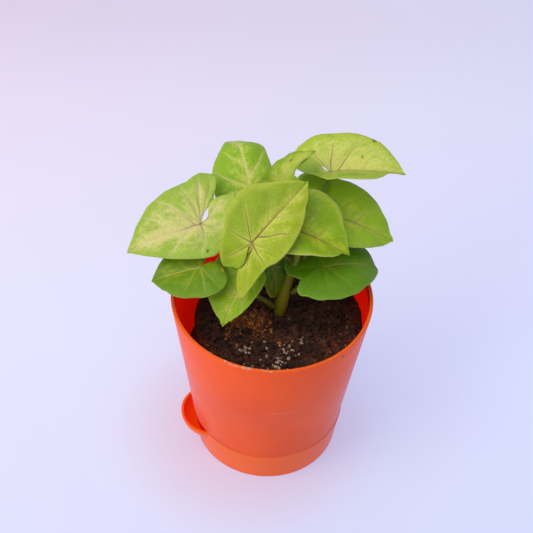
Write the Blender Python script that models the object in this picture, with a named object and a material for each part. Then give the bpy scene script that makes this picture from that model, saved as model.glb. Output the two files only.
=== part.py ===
"""A young arrowhead plant (syngonium) in an orange plastic self-watering pot.

The pot stands in a shallow reservoir tray that has a filling spout on one side. Potting mix fills the
pot, a short stem is rooted in the mix, and each leaf is a thin blade on its own stalk.

Units are metres and degrees, and +Z is up. The origin is the centre of the tray's underside, so the
object stands on z = 0. +Y is the far side of the pot, and the spout is on the left, at -X.
"""

import math

import bmesh
import bpy
from mathutils import Euler, Matrix, Vector

MM = 0.001
FIT_GAP = 0.3 * MM  # clearance between pieces that rest on each other
ROUND_STEPS = 48

# Pot: a moulded cone with a shoulder that rests on the tray and a well that dips into the water
POT_HEIGHT = 111 * MM
POT_RIM_RADIUS = 55 * MM
POT_FOOT_RADIUS = 41 * MM  # where the wall's outer line would meet z = 0
POT_WALL = 1.4 * MM
POT_LIP = 0.7 * MM  # how far the rim stands out from the wall
POT_LIP_HEIGHT = 1.8 * MM
POT_SKIRT_RADIUS = 42.4 * MM  # top of the part of the pot inside the tray
POT_SKIRT_FOOT_RADIUS = 41.2 * MM
POT_FLOOR_Z = 15 * MM
POT_FLOOR_EDGE = 2 * MM
WELL_RADIUS = 13 * MM
WELL_TAPER = 1.5 * MM
DRAIN_HOLES = 6
DRAIN_HOLE_RADIUS = 2.5 * MM
DRAIN_CIRCLE_RADIUS = 26 * MM
WELL_SLOTS = 2
WELL_SLOT_WIDTH = 3 * MM
WELL_SLOT_HEIGHT = 6 * MM
WELL_SLOT_Z = 8 * MM
WELL_SLOT_STEP = 0.12 * MM  # how much higher each bar of a slot is, so that no two bars share a face

# Reservoir tray: a shallow cup with a scoop-shaped spout
TRAY_HEIGHT = 22.5 * MM
TRAY_RIM_RADIUS = 44.4 * MM
TRAY_BASE_RADIUS = 42 * MM
TRAY_WALL = 1.3 * MM
TRAY_FLOOR = 1.5 * MM
TRAY_EDGE = 1 * MM
SPOUT_AZIMUTH = 199
SPOUT_RADIUS = 18.5 * MM
SPOUT_REACH = 52 * MM  # from the pot's axis to the spout's outermost point
SPOUT_DEPTH = 14 * MM
SPOUT_STEPS = 6  # steps down the spout's round bottom

# Potting mix, pulled away from the wall on the left because its upper part sits off centre
SOIL_Z = 94 * MM
SOIL_MOUND = 2 * MM  # how much higher the mix stands round the stem
SOIL_MOUND_TOP = 0.25  # share of the surface's radius where the mound is level
SOIL_MOUND_SIDE = 0.6  # share of the radius where it stands SOIL_MOUND_SLOPE of its height
SOIL_MOUND_SLOPE = 0.4
SOIL_TOP_RADIUS = 51.2 * MM
SOIL_TOP_SHIFT = 8.7 * MM
SOIL_CREVICE_DEPTH = 17 * MM

# Stem
STEM_FOOT = Vector((4.5, 1, 94)) * MM
STEM_TOP = Vector((13, 10, 134)) * MM
STEM_FOOT_RADIUS = 4.4 * MM
STEM_TOP_RADIUS = 2.2 * MM
STEM_ROOTED = 12 * MM  # length below the surface of the mix
STEM_LEAN = 1.5  # above 1, the stem leans over more the higher it is
STEM_SIDES = 12
STEM_RINGS = 5
STEM_END_SHARE = 0.7  # radius of the rooted end, and of the top, as a share of the stem's there

# Leaf blades and stalks
BLADE_THICKNESS = 0.6 * MM
STALK_TOP_RADIUS = 1.0 * MM
STALK_FOOT_RADIUS = 1.5 * MM
STALK_LEAVING_RISE = 60  # how steeply a stalk leaves the stem
STALK_LEAVING_SHARE = 0.35  # how far it keeps that way, as a share of the straight distance
STALK_ARRIVING_SHARE = 0.3
STALK_TAPER_SHARE = 0.6  # share of the stalk where it reaches its thinnest
STALK_POINTS = 12
STALK_BEVEL_RESOLUTION = 2
MARGIN_STEPS = 2  # steps between neighbouring points of the outline
ACROSS_STEPS = 3  # steps from the midrib to the margin

# Half of a blade's flat outline, from the tip to the inner end of the basal lobe. A first number above
# zero is a share of the midrib, one below zero is a share of the lobe's length, and the second number
# is a share of the half width.
BLADE_OUTLINE = [
    (1.0, 0.0),
    (0.94, 0.12),
    (0.78, 0.44),
    (0.54, 0.77),
    (0.25, 0.96),
    (-0.10, 1.0),
    (-0.52, 0.88),
    (-0.88, 0.62),
    (-1.0, 0.36),
    (-0.82, 0.14),
]
VEIN_SLANT = 0.35  # how far a side vein runs forward on its way to the margin


def leaf(at, heading, pitch, roll, length, width, lobe, **more):
    """A leaf's place and shape, in millimetres and degrees.

    at: where the stalk meets the blade. heading: the way the midrib points, anticlockwise from +X.
    pitch: how far the midrib rises. roll: turn about the midrib that lowers the right half.
    length: the midrib. width: half the blade. lobe: how far the basal lobes reach behind the stalk.
    droop and lobe_droop: how far the tip and the lobes bend down. fold: how far the halves rise from
    the midrib, and curl: how much more they rise by the margin. hook: above 1 it moves the droop
    towards the tip. spread: how far outwards each lobe leans, as a slope. taper: how much narrower
    the lobe's end is. lobe_fold: how much more the lobe's end rises sideways. sweep: how far forwards
    a half leans, as a slope. A pair of values is for the left and right halves. foot: how far up the
    stem the stalk grows, as a share, and on which side of the stem. arrive: how steeply the stalk
    reaches the blade, and how far it comes round from one side.
    """
    shape = dict(droop=20, lobe_droop=15, fold=8, curl=-12, hook=1, spread=0.2, taper=0, lobe_fold=0,
                 sweep=0, foot=(0.6, 0), arrive=(53, 0))
    shape.update(more, at=at, heading=heading, pitch=pitch, roll=roll, length=length, width=width,
                 lobe=lobe)
    for name in ("width", "lobe", "lobe_droop", "fold", "curl", "spread", "taper", "lobe_fold",
                 "sweep"):
        if not isinstance(shape[name], tuple):
            shape[name] = (shape[name], shape[name])
    return shape


LEAVES = {
    "left": leaf((-40, 18, 144), 199, -9, -18, 43, (17, 28), (27, 12), spread=(-0.55, 1.0),
                 lobe_droop=(-65, 0), foot=(0.7, 165), arrive=(35, 0)),
    "back_left": leaf((-15, 46, 147), 106, 32, 0, 43, (19, 16), (16, 10), droop=110, hook=2, fold=0,
                      curl=-25, spread=(0.4, 0.1), foot=(0.8, 150)),
    "centre": leaf((-12, -1, 150), 45, 28, 22, 45, (22, 18), (22, 27), droop=12, lobe_droop=(80, 35),
                   fold=4, spread=(0.1, 0.45), taper=(0.55, 0.6), sweep=(0.15, 0), foot=(0.92, 215)),
    "right_middle": leaf((11.5, 15, 145), -18, -6, 10, 32, (21, 16), (9, 15), fold=20, foot=(0.95, 350),
                         arrive=(70, 0)),
    "right": leaf((32.5, 32, 140.5), -6, -10, 12, 36, (24, 19), (17, 11), fold=12, foot=(1.0, 35)),
    "back_right": leaf((29, 54, 154), 0, 9, 0, 43, 23, (18, 19), fold=(32, 34), spread=(0.5, -0.35),
                       lobe_droop=(5, -70), lobe_fold=(0, -25), taper=(0.3, 0.65), foot=(0.9, 70),
                       arrive=(15, 0)),
    "young": leaf((4, 38, 154), 30, 52, 0, 28, (11, 10), 10, fold=(10, 50), curl=(0, 40),
                  foot=(0.98, 130)),
    "front_left": leaf((-39, -1, 130), 187, -12, -18, 28, 18, 13, foot=(0.08, 225), arrive=(75, 0)),
    "front": leaf((-12, -3, 127), 242, -29, 0, 30, (11, 20), (7, 12), spread=0, foot=(0.22, 165),
                  arrive=(60, 30)),
    "shaded": leaf((-1, 5, 127), 278, -62, 0, 20, (8, 6), 7, foot=(0.4, 150), arrive=(50, 60)),
    "front_right": leaf((27, 7, 127), 15, 0, 8, 35, (22, 22), (14, 18), droop=70, hook=2,
                        lobe_droop=(0, 15), spread=(-0.4, 0.3), taper=(0.5, 0), foot=(0.25, 330)),
}


# Each blade's green: pale on the variegated leaves, deep on the old and shaded ones
PALE_GREEN = (0.46, 0.52, 0.21)
LIME_GREEN = (0.36, 0.46, 0.08)
MID_GREEN = (0.19, 0.31, 0.05)
DEEP_GREEN = (0.09, 0.18, 0.04)
BLADE_COLOURS = {
    "left": PALE_GREEN,
    "back_left": MID_GREEN,
    "centre": LIME_GREEN,
    "right_middle": LIME_GREEN,
    "right": MID_GREEN,
    "back_right": PALE_GREEN,
    "young": LIME_GREEN,
    "front_left": MID_GREEN,
    "front": MID_GREEN,
    "shaded": DEEP_GREEN,
    "front_right": DEEP_GREEN,
}
STALK_COLOUR = (0.30, 0.30, 0.12)


def clear_scene():
    for old in list(bpy.data.objects):
        bpy.data.objects.remove(old)


def material(name, colour, roughness):
    made = bpy.data.materials.new(name)
    made.use_nodes = True
    shader = made.node_tree.nodes["Principled BSDF"]
    shader.inputs["Base Color"].default_value = (*colour, 1)
    shader.inputs["Roughness"].default_value = roughness
    return made


def add_object(name, data, finish):
    made = bpy.data.objects.new(name, data)
    bpy.context.scene.collection.objects.link(made)
    made.data.materials.append(finish)
    return made


def mesh_object(name, shape, finish):
    """An object made from a bmesh, shaded smooth between its sharp edges."""
    bmesh.ops.recalc_face_normals(shape, faces=shape.faces)
    mesh = bpy.data.meshes.new(name)
    shape.to_mesh(mesh)
    shape.free()
    mesh.shade_smooth()
    mesh.set_sharp_from_angle(angle=math.radians(35))
    return add_object(name, mesh, finish)


def turned(profile, centre=Vector((0, 0, 0))):
    """A bmesh turned about the vertical through centre, from (radius, height) points that start and
    end on the axis or make a closed ring."""
    shape = bmesh.new()
    corners = [shape.verts.new(centre + Vector((radius, 0, height))) for radius, height in profile]
    edges = [shape.edges.new(pair) for pair in zip(corners, corners[1:])]
    if profile[0][0] > 0:
        edges.append(shape.edges.new((corners[-1], corners[0])))
    bmesh.ops.spin(shape, geom=corners + edges, cent=centre, axis=(0, 0, 1), angle=math.tau,
                   steps=ROUND_STEPS, use_merge=True, use_duplicate=False)
    bmesh.ops.remove_doubles(shape, verts=shape.verts, dist=0.01 * MM)
    return shape


def cutter(name, shape, finish):
    made = mesh_object(name, shape, finish)
    made.hide_render = True
    made.display_type = "WIRE"
    return made


def boolean(target, other, operation="DIFFERENCE"):
    made = target.modifiers.new(other.name, "BOOLEAN")
    made.object = other
    made.operation = operation
    made.solver = "EXACT"


def pot_outer_radius(height):
    slope = (POT_RIM_RADIUS - POT_LIP - POT_FOOT_RADIUS) / POT_HEIGHT
    return POT_FOOT_RADIUS + slope * height


def pot_inner_radius(height):
    return pot_outer_radius(height) - POT_WALL


def make_tray(finish):
    inner_foot = TRAY_BASE_RADIUS - TRAY_WALL
    outside = [
        (0, 0),
        (TRAY_BASE_RADIUS - TRAY_EDGE, 0),
        (TRAY_BASE_RADIUS, TRAY_EDGE),
        (TRAY_RIM_RADIUS, TRAY_HEIGHT),
        (TRAY_RIM_RADIUS - TRAY_WALL, TRAY_HEIGHT),
        (inner_foot, TRAY_FLOOR + TRAY_EDGE),
        (inner_foot - TRAY_EDGE, TRAY_FLOOR),
        (0, TRAY_FLOOR),
    ]
    tray = mesh_object("reservoir_tray", turned(outside), finish)
    spout_shell = cutter("spout_shell", spout_shape(0), finish)
    spout_hollow = cutter("spout_hollow", spout_shape(TRAY_WALL), finish)
    inside = [
        (0, TRAY_FLOOR),
        (inner_foot - TRAY_EDGE, TRAY_FLOOR),
        (inner_foot, TRAY_FLOOR + TRAY_EDGE),
        (TRAY_RIM_RADIUS - TRAY_WALL, TRAY_HEIGHT),
        (TRAY_RIM_RADIUS - TRAY_WALL, 2 * TRAY_HEIGHT),
        (0, 2 * TRAY_HEIGHT),
    ]
    bowl = cutter("tray_bowl", turned(inside), finish)
    boolean(tray, spout_shell, "UNION")
    boolean(tray, bowl)
    boolean(tray, spout_hollow)
    return tray


def spout_shape(inset):
    """The scoop of the spout, a quarter of an ellipse turned about its own upright, drawn in by inset.
    The hollow goes up past the rim, so that it opens it."""
    radius = SPOUT_RADIUS - inset
    depth = SPOUT_DEPTH - inset
    profile = [(0, TRAY_HEIGHT - depth)]
    for step in range(1, SPOUT_STEPS + 1):
        angle = math.radians(90) * step / SPOUT_STEPS
        profile.append((radius * math.sin(angle), TRAY_HEIGHT - depth * math.cos(angle)))
    if inset:
        profile.append((radius, TRAY_HEIGHT + depth))
    profile.append((0, profile[-1][1]))
    azimuth = math.radians(SPOUT_AZIMUTH)
    distance = SPOUT_REACH - SPOUT_RADIUS
    return turned(profile, Vector((distance * math.cos(azimuth), distance * math.sin(azimuth), 0)))


def make_pot(finish):
    shoulder_z = TRAY_HEIGHT + FIT_GAP
    lip_z = POT_HEIGHT - POT_LIP_HEIGHT
    floor_z = POT_FLOOR_Z - POT_WALL
    skirt_foot = POT_SKIRT_FOOT_RADIUS - POT_FLOOR_EDGE
    well_foot = WELL_RADIUS - WELL_TAPER
    well_z = TRAY_FLOOR + FIT_GAP
    rim_inner = pot_inner_radius(POT_HEIGHT)
    profile = [
        (0, well_z),
        (well_foot, well_z),
        (WELL_RADIUS, floor_z),
        (skirt_foot, floor_z),
        (POT_SKIRT_FOOT_RADIUS, floor_z + POT_FLOOR_EDGE),
        (POT_SKIRT_RADIUS, shoulder_z),
        (pot_outer_radius(shoulder_z), shoulder_z),
        (pot_outer_radius(lip_z), lip_z),
        (POT_RIM_RADIUS, lip_z + POT_LIP),
        (POT_RIM_RADIUS, POT_HEIGHT - POT_LIP / 2),
        (POT_RIM_RADIUS - POT_LIP / 2, POT_HEIGHT),
        (rim_inner, POT_HEIGHT),
        (pot_inner_radius(shoulder_z + POT_WALL), shoulder_z + POT_WALL),
        (POT_SKIRT_RADIUS - POT_WALL, shoulder_z),
        (POT_SKIRT_FOOT_RADIUS - POT_WALL, POT_FLOOR_Z + POT_FLOOR_EDGE),
        (skirt_foot - POT_WALL, POT_FLOOR_Z),
        (WELL_RADIUS - POT_WALL, POT_FLOOR_Z),
        (well_foot - POT_WALL, well_z + POT_WALL),
        (0, well_z + POT_WALL),
    ]
    pot = mesh_object("pot", turned(profile), finish)
    boolean(pot, cutter("drain_holes", drain_hole_shapes(), finish))
    boolean(pot, cutter("well_slots", well_slot_shapes(), finish))
    return pot


def drain_hole_shapes():
    shape = bmesh.new()
    for index in range(DRAIN_HOLES):
        angle = math.tau * index / DRAIN_HOLES
        out = Vector((math.cos(angle), math.sin(angle), 0)) * DRAIN_CIRCLE_RADIUS
        place = Matrix.Translation(out + Vector((0, 0, POT_FLOOR_Z)))
        bmesh.ops.create_cone(shape, cap_ends=True, segments=12, radius1=DRAIN_HOLE_RADIUS,
                              radius2=DRAIN_HOLE_RADIUS, depth=4 * POT_WALL, matrix=place)
    return shape


def well_slot_shapes():
    """Bars that cut a slot through both sides of the well, one after another round it."""
    shape = bmesh.new()
    bar = Matrix.Diagonal((3 * WELL_RADIUS, WELL_SLOT_WIDTH, WELL_SLOT_HEIGHT, 1))
    lift = Matrix.Translation((0, 0, WELL_SLOT_Z))
    for index in range(WELL_SLOTS):
        step = Matrix.Translation((0, 0, index * WELL_SLOT_STEP))
        turn = Matrix.Rotation(math.pi * index / WELL_SLOTS, 4, "Z")
        bmesh.ops.create_cube(shape, size=1, matrix=step @ lift @ turn @ bar)
    return shape


def make_soil(finish):
    shoulder_z = TRAY_HEIGHT + FIT_GAP + POT_WALL
    well_foot = WELL_RADIUS - WELL_TAPER - POT_WALL - FIT_GAP
    well_z = TRAY_FLOOR + POT_WALL + 2 * FIT_GAP
    floor_z = POT_FLOOR_Z + FIT_GAP
    skirt = POT_SKIRT_RADIUS - POT_WALL - FIT_GAP
    skirt_foot = POT_SKIRT_FOOT_RADIUS - POT_WALL - FIT_GAP
    surface = pot_inner_radius(SOIL_Z)
    profile = [
        (0, well_z),
        (well_foot, well_z),
        (WELL_RADIUS - POT_WALL - FIT_GAP, floor_z),
        (skirt_foot - POT_FLOOR_EDGE, floor_z),
        (skirt_foot, floor_z + POT_FLOOR_EDGE),
        (skirt, shoulder_z),
        (pot_inner_radius(shoulder_z) - 2 * FIT_GAP, shoulder_z + FIT_GAP),
        (surface - FIT_GAP, SOIL_Z),
        (surface * SOIL_MOUND_SIDE, SOIL_Z + SOIL_MOUND * SOIL_MOUND_SLOPE),
        (surface * SOIL_MOUND_TOP, SOIL_Z + SOIL_MOUND),
        (0, SOIL_Z + SOIL_MOUND),
    ]
    soil = mesh_object("soil", turned(profile), finish)
    crevice_z = SOIL_Z - SOIL_CREVICE_DEPTH
    ring = [
        (SOIL_TOP_RADIUS, SOIL_Z + SOIL_CREVICE_DEPTH),
        (SOIL_TOP_RADIUS, crevice_z),
        (2 * POT_RIM_RADIUS, crevice_z),
        (2 * POT_RIM_RADIUS, SOIL_Z + SOIL_CREVICE_DEPTH),
    ]
    boolean(soil, cutter("crevice", turned(ring, Vector((SOIL_TOP_SHIFT, 0, 0))), finish))
    boolean(soil, cutter("stem_socket", stem_shape(FIT_GAP), finish))
    return soil


def stem_point(share):
    """A point of the stem's axis, which leans over as it rises from the mix."""
    rise = STEM_TOP - STEM_FOOT
    lean = share ** STEM_LEAN
    return STEM_FOOT + Vector((rise.x * lean, rise.y * lean, rise.z * share))


def stem_radius(share):
    return STEM_FOOT_RADIUS + (STEM_TOP_RADIUS - STEM_FOOT_RADIUS) * share


def stem_shape(margin):
    """The stem, a stack of rings from its rooted end to its top. margin widens it for its socket."""
    shape = bmesh.new()
    rooted = STEM_FOOT - Vector((0, 0, STEM_ROOTED + margin))
    rounded = STEM_TOP_RADIUS * STEM_END_SHARE
    rings = [(rooted, STEM_FOOT_RADIUS * STEM_END_SHARE)]
    for ring in range(STEM_RINGS + 1):
        rings.append((stem_point(ring / STEM_RINGS), stem_radius(ring / STEM_RINGS)))
    rings.append((STEM_TOP + Vector((0, 0, rounded)), rounded))
    loops = []
    for place, radius in rings:
        circle = bmesh.ops.create_circle(shape, segments=STEM_SIDES, radius=radius + margin,
                                         matrix=Matrix.Translation(place))
        loops.append(circle["verts"])
    for lower, upper in zip(loops, loops[1:]):
        for index in range(STEM_SIDES):
            after = (index + 1) % STEM_SIDES
            shape.faces.new((lower[index], lower[after], upper[after], upper[index]))
    shape.faces.new(list(reversed(loops[0])))
    shape.faces.new(loops[-1])
    return shape


def smooth_line(points, steps):
    """Points on a curve through the given points, a Catmull-Rom spline."""
    line = [Vector(point) for point in points]
    padded = [2 * line[0] - line[1]] + line + [2 * line[-1] - line[-2]]
    made = []
    for before, start, end, after in zip(padded, padded[1:], padded[2:], padded[3:]):
        for step in range(steps):
            t = step / steps
            slope = (end - before) * t
            bend = (2 * before - 5 * start + 4 * end - after) * t ** 2
            turn = (3 * start - before - 3 * end + after) * t ** 3
            made.append((2 * start + slope + bend + turn) / 2)
    return made + [line[-1]]


def bent(shape, along, across, half):
    """Where a point of the flat blade lies once it is bent, with X along the midrib and Z up."""
    reach = abs(across) / (shape["width"][half] * MM)
    behind = max(0, -along / (shape["lobe"][half] * MM))
    curl = shape["curl"][half] * reach / 2
    rise = math.radians(shape["fold"][half] + curl + shape["lobe_fold"][half] * behind)
    if along >= 0:
        hook = shape["hook"]
        bow = -math.radians(shape["droop"]) * (along / (shape["length"] * MM)) ** hook
    else:
        hook = 1
        bow = math.radians(shape["lobe_droop"][half]) * behind
    spine = Matrix.Rotation(-bow / (1 + hook), 3, "Y") @ Vector((along, 0, 0))
    section = Vector((0, math.copysign(math.cos(rise), across), math.sin(rise))) * abs(across)
    return spine + Matrix.Rotation(-bow, 3, "Y") @ section


def leaf_turn(shape):
    angles = (shape["roll"], -shape["pitch"], shape["heading"])
    return Euler([math.radians(angle) for angle in angles], "XYZ").to_matrix()


def margin_point(shape, point, half):
    """The flat place of a point of the outline, with its lobe part leaning outwards."""
    side = -1 if half else 1
    reach = shape["lobe"][half] if point.x < 0 else shape["length"]
    behind = max(0, -point.x)
    lean = shape["spread"][half] * behind * shape["lobe"][half]
    across = point.y * shape["width"][half] * (1 - shape["taper"][half] * behind)
    along = point.x * reach + shape["sweep"][half] * across
    return Vector((along, side * (across + lean))) * MM


def blade_sheet(shape):
    """The blade as one bent sheet: rows run from the midrib, or from the stalk, to the margin."""
    sheet = bmesh.new()
    place = Vector(shape["at"]) * MM
    turn = leaf_turn(shape)
    outline = smooth_line([(*point, 0) for point in BLADE_OUTLINE], MARGIN_STEPS)
    for half, side in ((0, 1), (1, -1)):
        rows = []
        for point in outline:
            foot_share = max(0, point.x - VEIN_SLANT * point.y)
            foot = Vector((foot_share * shape["length"], 0)) * MM
            edge = margin_point(shape, point, half)
            row = []
            for step in range(ACROSS_STEPS + 1):
                flat = foot.lerp(edge, step / ACROSS_STEPS)
                row.append(sheet.verts.new(place + turn @ bent(shape, flat.x, flat.y, half)))
            rows.append(row)
        for inner, outer in zip(rows, rows[1:]):
            for index in range(ACROSS_STEPS):
                corners = [inner[index], inner[index + 1], outer[index + 1], outer[index]]
                sheet.faces.new(corners if side < 0 else corners[::-1])
    bmesh.ops.remove_doubles(sheet, verts=sheet.verts, dist=0.02 * MM)
    bmesh.ops.recalc_face_normals(sheet, faces=sheet.faces)
    return sheet


def make_blade(name, shape, finish):
    blade = mesh_object("leaf_" + name, blade_sheet(shape), finish)
    wall = blade.modifiers.new("thickness", "SOLIDIFY")
    wall.thickness = BLADE_THICKNESS
    wall.offset = 0
    return blade


def direction(azimuth, rise):
    """The unit vector that points at an azimuth and rises from the level, both in degrees."""
    turn, lift = math.radians(azimuth), math.radians(rise)
    return Vector((math.cos(lift) * math.cos(turn), math.cos(lift) * math.sin(turn), math.sin(lift)))


def stalk_line(shape):
    """The stalk's route from the side of the stem to the underside of the blade, a smooth bow."""
    attach = Vector(shape["at"]) * MM
    share, side = shape["foot"]
    base = stem_point(share)
    # The slanting foot touches the stem with its lowest edge, which leans in by the sine of its rise
    lean = STALK_FOOT_RADIUS * math.sin(math.radians(STALK_LEAVING_RISE))
    start = base + direction(side, 0) * (stem_radius(share) + FIT_GAP + lean)
    rise, turn = shape["arrive"]
    way_out = math.degrees(math.atan2(attach.y - base.y, attach.x - base.x))
    end_way = direction(way_out + turn, rise)
    normal = leaf_turn(shape) @ Vector((0, 0, 1))
    tilt = math.sqrt(max(0, 1 - end_way.dot(normal) ** 2))
    end = attach - normal * (BLADE_THICKNESS / 2 + FIT_GAP + STALK_TOP_RADIUS * tilt)
    span = (end - start).length
    leave = start + direction(side, STALK_LEAVING_RISE) * span * STALK_LEAVING_SHARE
    arrive = end - end_way * span * STALK_ARRIVING_SHARE
    points = []
    for step in range(STALK_POINTS):
        t = step / (STALK_POINTS - 1)
        first = start.lerp(leave, t)
        middle = leave.lerp(arrive, t)
        last = arrive.lerp(end, t)
        points.append(first.lerp(middle, t).lerp(middle.lerp(last, t), t))
    return points


def make_stalk(name, shape, finish):
    """A stalk that tapers from its foot to the blade."""
    curve = bpy.data.curves.new("stalk_" + name, "CURVE")
    curve.dimensions = "3D"
    curve.bevel_depth = STALK_FOOT_RADIUS
    curve.bevel_resolution = STALK_BEVEL_RESOLUTION
    curve.use_fill_caps = True
    spline = curve.splines.new("POLY")
    spline.points.add(STALK_POINTS - 1)
    for index, point in enumerate(stalk_line(shape)):
        tapered = min(1, index / (STALK_POINTS - 1) / STALK_TAPER_SHARE)
        spline.points[index].co = (*point, 1)
        spline.points[index].radius = 1 + (STALK_TOP_RADIUS / STALK_FOOT_RADIUS - 1) * tapered
    return add_object("stalk_" + name, curve, finish)


def main():
    clear_scene()
    make_tray(material("tray_plastic", (0.78, 0.13, 0.04), 0.35))
    make_pot(material("pot_plastic", (0.70, 0.10, 0.04), 0.35))
    make_soil(material("peat_mix", (0.03, 0.02, 0.02), 0.95))
    mesh_object("stem", stem_shape(0), material("stem_skin", (0.20, 0.22, 0.08), 0.5))
    for name, shape in LEAVES.items():
        make_blade(name, shape, material("blade_" + name, BLADE_COLOURS[name], 0.45))
        make_stalk(name, shape, material("stalk_" + name, STALK_COLOUR, 0.5))


main()
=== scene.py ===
"""The looks of a young arrowhead plant in an orange self-watering pot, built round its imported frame.

The pot and its tray are moulded polypropylene, the potting mix is peat with bark and perlite, and the
plant is a syngonium with thin, softly waved blades. Tables are in millimetres and degrees; everything
that is built is in metres, in the frame of the solids it stands for.
"""

import functools
import math
import random

import bmesh
import bpy
from mathutils import Euler, Matrix, Vector, noise


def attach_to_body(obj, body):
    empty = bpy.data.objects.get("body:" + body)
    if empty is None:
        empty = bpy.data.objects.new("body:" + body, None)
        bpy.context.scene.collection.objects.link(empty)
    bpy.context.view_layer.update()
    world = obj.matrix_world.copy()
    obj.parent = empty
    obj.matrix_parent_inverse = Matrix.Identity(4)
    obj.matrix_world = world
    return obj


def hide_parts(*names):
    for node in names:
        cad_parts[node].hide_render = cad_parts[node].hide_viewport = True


MM = 0.001

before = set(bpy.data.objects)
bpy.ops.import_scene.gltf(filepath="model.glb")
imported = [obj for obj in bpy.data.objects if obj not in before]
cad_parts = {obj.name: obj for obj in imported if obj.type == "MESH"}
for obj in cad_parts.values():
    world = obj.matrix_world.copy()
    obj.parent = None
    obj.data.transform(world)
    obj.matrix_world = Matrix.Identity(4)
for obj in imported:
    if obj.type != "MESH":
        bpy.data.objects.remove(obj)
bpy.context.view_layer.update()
random.seed(11)
noise.seed_set(11)


# ---------------------------------------------------------------- nodes and colours

# Settings that a kind of node has here unless its call gives another
SETTINGS = {"Mix": {"data_type": "RGBA"}, "Math": {"operation": "MULTIPLY"},
            "VectorMath": {"operation": "DISTANCE"}}
SMOOTH = {"interpolation_type": "SMOOTHSTEP"}


def colour(code):
    """Linear RGBA of an sRGB hex code."""
    shares = [int(code[index:index + 2], 16) / 255 for index in (0, 2, 4)]
    return (*((share / 12.92) if share <= 0.04045 else ((share + 0.055) / 1.055) ** 2.4
              for share in shares), 1)


def feed(node, inputs):
    """Sets or links a node's inputs. inputs maps a socket's name or number to a value, a socket, or a
    node that gives its first output."""
    for key, value in inputs.items():
        sockets = [socket for socket in node.inputs if socket.enabled]
        if isinstance(key, str):
            sockets = [socket for socket in sockets if socket.name == key]
            key = 0
        if isinstance(value, bpy.types.Node):
            value = next(socket for socket in value.outputs if socket.enabled)
        if isinstance(value, bpy.types.NodeSocket):
            node.id_data.links.new(value, sockets[key])
        else:
            sockets[key].default_value = value


def add_node(tree, kind, inputs=None, **settings):
    """Adds a node with its settings and links."""
    made = tree.nodes.new("ShaderNode" + kind)
    for name, value in {**SETTINGS.get(kind, {}), **settings}.items():
        setattr(made, name, value)
    feed(made, inputs or {})
    return made


def finish(name, **sockets):
    """A new material, its Principled shader with the given values, and what adds nodes to its tree."""
    made = bpy.data.materials.new(name)
    made.use_nodes = True
    shader = made.node_tree.nodes["Principled BSDF"]
    feed(shader, {socket.replace("_", " "): value for socket, value in sockets.items()})
    return made, shader, functools.partial(add_node, made.node_tree)


# ---------------------------------------------------------------- the plant's tables

# Half of a blade's flat outline, from the tip to the inner end of the basal lobe, as in the solids
BLADE_OUTLINE = [(1.0, 0.0), (0.94, 0.12), (0.78, 0.44), (0.54, 0.77), (0.25, 0.96), (-0.10, 1.0),
                 (-0.52, 0.88), (-0.88, 0.62), (-1.0, 0.36), (-0.82, 0.14)]
VEIN_SLANT = 0.35  # how far a side vein runs forward on its way to the margin
# What a leaf may have different on its left and right half
HALVES = ("width", "lobe", "lobe_droop", "fold", "curl", "spread", "taper", "lobe_fold", "sweep",
          "inner", "notch", "blunt", "lift")


def leaf(at, heading, pitch, roll, length, width, lobe, **more):
    """A leaf's place and shape, with the same meanings as its solid, and finer shape besides: inner is
    how far the inner side of each lobe bulges towards the other, notch how far it keeps from it by the
    stalk, blunt how far the lobe's end widens towards it, and lift how much higher it lies. bumps push
    the margin outwards: (place along the outline, spread, size)."""
    shape = dict(droop=20, lobe_droop=15, fold=8, curl=-12, hook=1, spread=0.2, taper=0, lobe_fold=0,
                 sweep=0, foot=(0.6, 0), arrive=(53, 0), inner=2, notch=0, blunt=0, lift=0,
                 bumps=([], []))
    shape.update(more, at=at, heading=heading, pitch=pitch, roll=roll, length=length, width=width,
                 lobe=lobe)
    for name in HALVES:
        if not isinstance(shape[name], tuple):
            shape[name] = (shape[name], shape[name])
    return shape


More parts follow.
